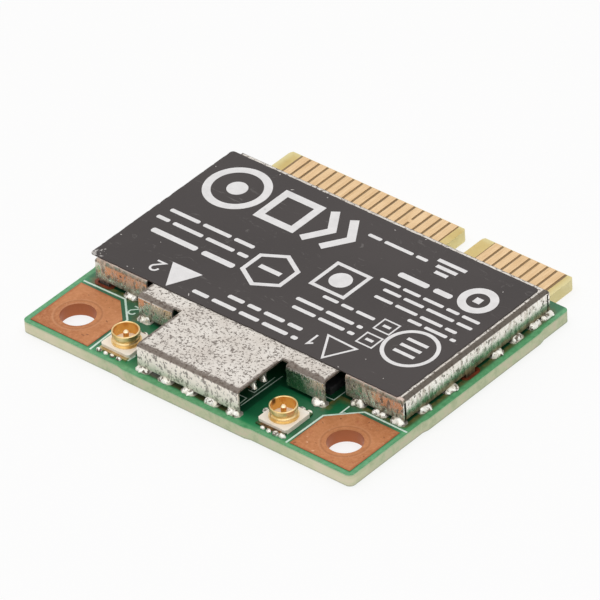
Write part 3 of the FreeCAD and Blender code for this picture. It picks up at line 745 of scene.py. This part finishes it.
class Flat:
    """Thin printed or plated shapes with their top on one level, gathered into one mesh."""

    def __init__(self, level, thickness=film):
        self.level = level
        self.thickness = thickness
        self.points = []
        self.faces = []

    def polygon(self, corners):
        start = len(self.points)
        self.points += [(x, y, self.level) for x, y in corners]
        self.faces.append(tuple(range(start, start + len(corners))))

    def band(self, outer, inner, closed=True):
        """Band between two lines with as many points each."""
        start = len(self.points)
        count = len(outer)
        self.points += [(x, y, self.level) for x, y in (*outer, *inner)]
        for i in range(count if closed else count - 1):
            j = (i + 1) % count
            self.faces.append((start + i, start + j, start + count + j, start + count + i))

    def stroke(self, line, width, closed=False):
        """Line of one width, with mitred corners."""
        points = [Vector(p) for p in line]
        count = len(points)
        left, right = [], []
        for i, here in enumerate(points):
            before = points[i - 1] if (i or closed) else None
            after = points[(i + 1) % count] if (i + 1 < count or closed) else None
            into = (here - before).normalized() if before is not None else None
            out = (after - here).normalized() if after is not None else None
            into, out = into or out, out or into
            along = (into + out).normalized()
            reach = width / 2 / max(along.dot(into), mitre_share)
            side = Vector((-along.y, along.x)) * reach
            left.append(tuple(here + side))
            right.append(tuple(here - side))
        self.band(left, right, closed)

    def bar(self, x0, x1, y, width):
        self.stroke([(x0, y), (x1, y)], width)

    def box(self, x0, x1, y0, y1, width):
        """Outline of a box."""
        self.stroke([(x0, y0), (x1, y0), (x1, y1), (x0, y1)], width, closed=True)

    def ring(self, x, y, r, width, steps=ring_steps):
        self.band(circle(x, y, r + width / 2, steps), circle(x, y, r - width / 2, steps))

    def disc(self, x, y, r):
        self.polygon(circle(x, y, r, disc_steps))

    def words(self, x0, x1, y, height, seed):
        """A row of plain bars of uneven length, one for each word of small print."""
        dice = random.Random(seed)
        x = x0
        half = height * bar_share / 2
        cut = half / 2
        while x1 - x > height * space_share:
            end = min(x + height * dice.uniform(*word_share), x1)
            self.polygon([(x + cut, y - half), (end - cut, y - half),
                          (end, y - half + cut), (end, y + half - cut),
                          (end - cut, y + half), (x + cut, y + half),
                          (x, y + half - cut), (x, y - half + cut)])
            x = end + height * space_share

    def make(self, name, surface):
        """The shapes as closed slabs: their tops, their undersides and a side along each open edge."""
        count = len(self.points)
        low = [(x, y, z - self.thickness) for x, y, z in self.points]
        edges = [(a, b) for face in self.faces for a, b in zip(face, face[1:] + face[:1])]
        uses = Counter(frozenset(edge) for edge in edges)
        sides = [(b, a, a + count, b + count) for a, b in edges if uses[frozenset((a, b))] == 1]
        under = [tuple(point + count for point in reversed(face)) for face in self.faces]
        piece(name, self.points + low, self.faces + under + sides, surface)


def figure_one(flat, x, y, height, width):
    """The number 1, upside down on the card, centred at a place."""
    half = height / 2
    flat.stroke([(x, y + half), (x, y - half), (x + 0.28 * height, y - half + 0.24 * height)], width)


def figure_two(flat, x, y, height, width):
    """The number 2, upside down on the card, centred at a place."""
    half = height / 2
    r = 0.27 * height
    angles = [math.radians(-10 + 20 * i) for i in range(11)]
    bow = [(x + r * math.cos(a), y - half + r - r * math.sin(a)) for a in angles]
    foot = y + half - width / 2
    flat.stroke(bow + [(x - 0.9 * r, y - half + 1.5 * r), (x + 1.05 * r, foot), (x - 1.15 * r, foot)], width)


# ------------------------------------------------ label and its print

# Corners of the label, spacing of the points along its edge and depth of the nicks there
corner_r = 0.28
corner_turns = (0, 22, 45, 68, 90)
rim_spacing = 0.18
nick_depth = 0.07

# Edge of the label from its foot to its top: how far in, and how far under the top
label_edge = ((0.0, 0.03), (0.012, 0.008), (0.04, 0.0))


def label_rim():
    """Outline of the label, with the small nicks of its cut edge."""
    low, high = (Vector(corner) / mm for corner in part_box("label"))
    r = corner_r
    corners = ((high.x - r, high.y - r, 0), (low.x + r, high.y - r, 90), (low.x + r, low.y + r, 180),
               (high.x - r, low.y + r, 270))
    bend_points = []
    for x, y, start in corners:
        for turn in corner_turns:
            angle = math.radians(start + turn)
            bend_points.append((x + r * math.cos(angle), y + r * math.sin(angle)))
    rim = []
    for i, here in enumerate(bend_points):
        there = bend_points[(i + 1) % len(bend_points)]
        parts = max(1, int(math.dist(here, there) / rim_spacing))
        rim += [Vector(here).lerp(Vector(there), j / parts) for j in range(parts)]
    middle = Vector(((low.x + high.x) / 2, (low.y + high.y) / 2))
    nicked = []
    for point in rim:
        wide = noise.noise(Vector((point.x * 1.9, point.y * 1.9, 0)))
        rough = wide + 0.5 * noise.noise(Vector((point.x * 6, point.y * 6, 4)))
        nicked.append(point + (middle - point).normalized() * max(0, rough) * nick_depth)
    return nicked


def make_label(surface):
    """The label as a film: flat on the can, with a softened edge."""
    rim = label_rim()
    top = label_top - 2 * film
    rings = [(0.0, can_top + touch)] + [(inset, top - under) for inset, under in label_edge]
    count = len(rim)
    middle = sum(rim, Vector((0, 0))) / count
    points, faces = [], []
    for inset, level in rings:
        for point in rim:
            inner = point + (middle - point).normalized() * inset
            points.append((inner.x, inner.y, level))
    for ring in range(len(rings) - 1):
        for i in range(count):
            j = (i + 1) % count
            a, b = ring * count, (ring + 1) * count
            faces.append((a + i, a + j, b + j, b + i))
    faces.append(tuple(range((len(rings) - 1) * count, len(rings) * count)))
    faces.append(tuple(reversed(range(count))))
    made = piece("label_film", points, faces, surface)
    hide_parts("label")


# Rows of bars in place of small print: both ends, middle line and height
small_print = (
    (-13.1, -4.95, 0.65, 0.72), (-13.4, -5.05, -0.47, 0.72), (-12.65, -5.1, -1.88, 1.02),
    (-5.6, 3.85, -5.66, 0.74), (-3.2, 3.75, -4.66, 0.74),
    (1.15, 6.65, -2.95, 0.66), (0.75, 6.65, -2.05, 0.66), (2.1, 6.7, -0.8, 0.62),
    (0.0, 5.8, 6.6, 0.62), (4.65, 9.35, 4.3, 1.02),
    (4.0, 12.8, 3.1, 0.6), (4.95, 12.8, 2.27, 0.6), (4.95, 12.8, 1.32, 0.6), (8.55, 12.75, 0.56, 0.6),
)


def make_print(surface):
    """Plain shapes, bars and the numbers 1 and 2 where the label is printed."""
    flat = Flat(label_top - film)
    # Solid pointer and number 2, outlined pointer and number 1
    flat.polygon([(-7.47, -6.38), (-6.2, -3.91), (-8.89, -3.96)])
    figure_two(flat, -9.5, -4.95, 1.18, 0.17)
    flat.stroke([(5.3, -4.05), (7.88, -4.13), (6.6, -6.26)], 0.17, closed=True)
    figure_one(flat, 4.72, -5.05, 1.15, 0.17)
    # Disc in a ring, box, two chevrons, barred hexagon and disc in a box
    flat.ring(-11.0, 5.35, 2.2, 0.62)
    flat.disc(-11.0, 5.35, 0.78)
    flat.box(-7.75, -4.7, 3.85, 6.95, 0.62)
    for x in (-3.6, -1.85):
        flat.stroke([(x, 7.3), (x + 1.25, 5.4), (x, 3.5)], 0.66)
    flat.stroke(circle(-2.8, -0.7, 1.95, 6, 30), 0.34, closed=True)
    flat.bar(-3.75, -1.85, -0.7, 0.42)
    flat.box(0.45, 3.35, -0.15, 2.75, 0.3)
    flat.disc(1.9, 1.3, 0.85)
    # Two barred boxes, barred ring, square in a ring and three bars in steps
    for y in (-2.82, -0.95):
        flat.box(7.25, 8.6, y - 0.62, y + 0.62, 0.13)
        flat.bar(7.6, 8.25, y, 0.26)
    flat.ring(10.8, -1.9, 1.95, 0.3)
    for y in (-2.6, -1.85, -1.1):
        flat.bar(9.9, 11.7, y, 0.3)
    flat.ring(11.05, 5.1, 1.15, 0.62, steps=60)
    flat.polygon([(10.75, 4.8), (11.35, 4.8), (11.35, 5.4), (10.75, 5.4)])
    for y, length in ((5.95, 1.1), (6.57, 1.8), (7.19, 2.5)):
        flat.bar(7.05 - length / 2, 7.05 + length / 2, y, 0.34)
    for seed, row in enumerate(small_print):
        flat.words(*row, seed)
    flat.make("label_print", surface)


# Flecks where the label's film has flaked: place, length and turn in degrees
flecks = (
    (-13.94, -3.67, 0.16, 20), (-11.11, -2.71, 0.1, 60), (-11.11, -6.25, 0.14, 10), (-10.61, -6.19, 0.08, 0),
    (-13.95, 6.45, 0.12, 45), (-7.75, 7.51, 0.3, 35), (-9.64, 8.4, 0.14, 80), (-7.78, 4.58, 0.12, 30),
    (-5.5, -6.2, 0.42, 128), (-5.15, 8.25, 0.16, 70), (1.15, 8.08, 0.13, 15), (3.6, 8.5, 0.2, 50),
    (11.79, 6.9, 0.12, 10), (9.12, -4.63, 0.12, 75), (11.47, -5.58, 0.1, 30), (8.16, -6.4, 0.14, 0),
)
fleck_corners = 7
fleck_reach = (0.65, 1.0)
fleck_half = 0.045
fleck_seed = 100


def make_flecks(surface):
    flat = Flat(label_top - film)
    for seed, (x, y, length, turn) in enumerate(flecks):
        dice = random.Random(fleck_seed + seed)
        along = Vector((math.cos(math.radians(turn)), math.sin(math.radians(turn)))) * length / 2
        across = Vector((-along.y, along.x)) * min(1, fleck_half / length * 2)
        corners = []
        for step in range(fleck_corners):
            angle = 2 * math.pi * step / fleck_corners
            reach = dice.uniform(*fleck_reach)
            corner = Vector((x, y)) + along * math.cos(angle) * reach
            corners.append(corner + across * math.sin(angle) * reach)
        flat.polygon([tuple(corner) for corner in corners])
    flat.make("label_flecks", surface)


# ------------------------------------------------ print and copper on the board

def make_silkscreen(surface):
    """Lines and the numbers 1 and 2 round the screw lands and sockets, and lines under the can."""
    flat = Flat(mask_z + film)
    wide, thin = 0.15, 0.075
    flat.stroke([(-14.47, -7.24), (-10.69, -7.15), (-8.95, -8.9), (-8.82, -12.98)], wide)
    flat.stroke([(14.80, -7.2), (11.03, -7.17), (9.0, -9.15), (8.9, -12.95)], wide)
    flat.stroke([(-5.85, -12.44), (-5.78, -11.66)], wide)
    figure_one(flat, 9.77, -7.77, 0.98, 0.12)
    figure_two(flat, -9.3, -7.78, 0.95, 0.12)
    # Outlines of the parts under the can, where its open sides let them show
    flat.stroke([(3.76, -11.65), (3.9, -7.4)], thin)
    flat.stroke([(2.9, -10.77), (3.53, -10.77), (3.55, -11.5)], thin)
    flat.stroke([(3.0, -9.98), (3.54, -9.98), (3.56, -7.8)], thin)
    flat.stroke([(7.78, -7.41), (8.46, -7.37), (8.49, -6.13)], thin)
    flat.make("board_silkscreen", surface)


def make_bridge(surface):
    """The plated link between two neighbouring contacts."""
    flat = Flat(copper_top - film, copper_top - film - mask_z)
    flat.polygon([(-0.72, 11.56), (-0.48, 11.54), (-0.48, 11.86), (-0.72, 11.9)])
    flat.make("contact_bridge", surface)


# ------------------------------------------------ solder

# Places of the can's feet along its walls; then the walls: way out, distance from the middle, feet
side_feet = (-4.5, -1.75, 3.25, 5.4, 7.35, 8.65)
front_feet = (-10.5, 10.1, 12.0, 13.6)
step_feet = (-7.9, 7.9)
extension_feet = (-4.24, -2.2, -0.1, 2.0, 3.95)
back_feet = tuple(-11.5 + 2.3 * i for i in range(11))
can_walls = (
    ((1, 0), can_right_x, side_feet),
    ((-1, 0), -can_left_x, side_feet),
    ((0, 1), can_back_y, back_feet),
    ((0, -1), -can_front_y, front_feet),
    ((0, -1), -step_front_y, step_feet),
    ((0, -1), -extension_front_y, extension_feet),
)

# Solder run at a foot of the can: least and most of its length, its reach and its rise
run_length = (1.0, 1.25)
run_reach = (0.3, 0.36)
run_rise = (0.28, 0.4)
run_columns = 20
run_rows = 8

# Every lump starts this far above the copper or the mask
lift = 0.002
bead_rings = 6
bead_sectors = 12

# Beads in front of each socket: place and radius, which is stretched along X and Z
front_beads = {
    "left": [(-8.23, -12.67, 0.18), (-7.6, -12.7, 0.15), (-7.03, -12.69, 0.16), (-6.45, -12.66, 0.17)],
    "right": [(6.6, -12.68, 0.15), (7.15, -12.7, 0.16), (7.74, -12.66, 0.22), (8.28, -12.62, 0.22)],
}
front_stretch_x = 1.35
front_stretch_z = 1.2
front_seed = 7

# Beads behind each socket and at its pin, and the ends of two parts in the extension's opening:
# place and the radii along X, Y and Z
rear_beads = (-1.0, -0.35, 0.3, 0.9)
rear_bead_y = socket_y + 1.62
rear_radii = (0.24, 0.14, 0.17)
rear_seed = 20
pin_bead_x = socket_x - 1.66
pin_radii = (0.2, 0.26, 0.15)
pin_seed = 40
window_end_x = 3.175
window_parts = (-8.5, -9.55)
window_radii = (0.25, 0.25, 0.47)
window_slope = 0.85
window_seed = 60


def solder_run(points, faces, start, along, out, length, reach, rise, level, seed):
    """Low bead of solder against an upright, lumpy along its length, with a flat back and foot."""
    first = len(points)
    ring = run_rows + 2
    for i in range(run_columns + 1):
        u = i / run_columns
        body = max(1 - abs(2 * u - 1) ** 5, 0.0) ** 0.5
        tall = body * (0.88 + 0.45 * noise.noise(Vector((seed * 3.7 + u * 2.6, seed * 1.3, 0))))
        wide = body * (1.0 + 0.7 * noise.noise(Vector((seed * 2.1 + u * 3.4, 5.0, seed * 0.7))))
        for j in range(run_rows + 1):
            v = j / run_rows * math.pi / 2
            away = reach * wide * math.sin(v) ** 1.25
            height = rise * tall * math.cos(v) ** 1.2
            points.append((start[0] + along[0] * length * u + out[0] * away,
                           start[1] + along[1] * length * u + out[1] * away, level + height))
        points.append((start[0] + along[0] * length * u, start[1] + along[1] * length * u, level))
    for i in range(run_columns):
        for j in range(ring):
            a = first + i * ring + j
            b = first + i * ring + (j + 1) % ring
            faces.append((a, b, b + ring, a + ring))


def make_can_solder(surface):
    points, faces = [], []
    seed = 0
    for out, face, places in can_walls:
        along = (-out[1], out[0])
        for place in places:
            seed += 1
            dice = random.Random(seed)
            length = dice.uniform(*run_length)
            middle = (out[0] * face + abs(along[0]) * place, out[1] * face + abs(along[1]) * place)
            start = (middle[0] - along[0] * length / 2, middle[1] - along[1] * length / 2)
            solder_run(points, faces, start, along, out, length, dice.uniform(*run_reach),
                       dice.uniform(*run_rise), copper_top + lift, seed)
    made = piece("can_solder_runs", points, faces, surface, smooth=True)
    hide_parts("can_solder")


def bead(points, faces, x, y, radii, seed, slope=0.0):
    """Bead of solder on the mask: a dome, or a heap with straight sides as slope goes to 1."""
    rx, ry, rz = radii
    first = len(points)
    level = mask_z + lift
    for i in range(bead_rings):
        polar = math.pi / 2 * i / bead_rings
        for j in range(bead_sectors):
            turn = 2 * math.pi * j / bead_sectors
            sample = Vector((math.cos(turn) * 1.3 + seed, math.sin(turn) * 1.3, i * 0.4))
            lump = 1 + 0.16 * noise.noise(sample)
            points.append((x + rx * lump * math.cos(polar) * math.cos(turn),
                           y + ry * lump * math.cos(polar) * math.sin(turn),
                           level + rz * (math.sin(polar) * (1 - slope) + (1 - math.cos(polar)) * slope)))
    points.append((x, y, level + rz))
    top = len(points) - 1
    for i in range(bead_rings - 1):
        for j in range(bead_sectors):
            a = first + i * bead_sectors + j
            b = first + i * bead_sectors + (j + 1) % bead_sectors
            faces.append((a, b, b + bead_sectors, a + bead_sectors))
    last = first + (bead_rings - 1) * bead_sectors
    for j in range(bead_sectors):
        faces.append((last + j, last + (j + 1) % bead_sectors, top))
    faces.append(tuple(reversed(range(first, first + bead_sectors))))


def make_socket_solder(surface):
    """Beads in front of each socket, behind it and at its pin."""
    for side_name, sign in (("left", -1), ("right", 1)):
        points, faces = [], []
        for i, (x, y, r) in enumerate(front_beads[side_name]):
            radii = (r * front_stretch_x, r, r * front_stretch_z)
            bead(points, faces, x, y, radii, i + front_seed * sign)
        for i, x in enumerate(rear_beads):
            bead(points, faces, sign * socket_x + x, rear_bead_y, rear_radii, i + rear_seed * sign)
        bead(points, faces, sign * pin_bead_x, socket_y, pin_radii, pin_seed)
        made = piece("socket_%s_solder_beads" % side_name, points, faces, surface, smooth=True)
        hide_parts("socket_%s_solder" % side_name)


def make_window_solder(surface):
    """Fillets at the ends of the two chip parts that show in the extension's opening."""
    points, faces = [], []
    for seed, y in enumerate(window_parts, window_seed):
        bead(points, faces, window_end_x, y, window_radii, seed, window_slope)
    piece("window_part_solder", points, faces, surface, smooth=True)


# ------------------------------------------------ put together

def finish_nodes(surfaces):
    """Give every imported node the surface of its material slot."""
    slots = {row["node"]: row["material_slot"] for row in frame["record"]["subparts"]}
    for name, node in frame["nodes"].items():
        look = slots[name]
        if "socket" in name and look == "gold_plating":
            look = "shell_gold"
        if "slot" in name:
            look = "slot_copper"
        node.data.materials.clear()
        node.data.materials.append(surfaces[look])


bpy.context.scene.view_settings.view_transform = "Standard"
place_camera()
make_world()
make_floor()
make_softbox()

surfaces = make_surfaces()
finish_nodes(surfaces)
make_label(surfaces["label_film"])
make_print(surfaces["label_print"])
make_flecks(surfaces["label_fleck"])
make_silkscreen(surfaces["silkscreen"])
make_bridge(surfaces["gold_plating"])
make_can_solder(surfaces["solder"])
make_socket_solder(surfaces["solder"])
make_window_solder(surfaces["bright_solder"])
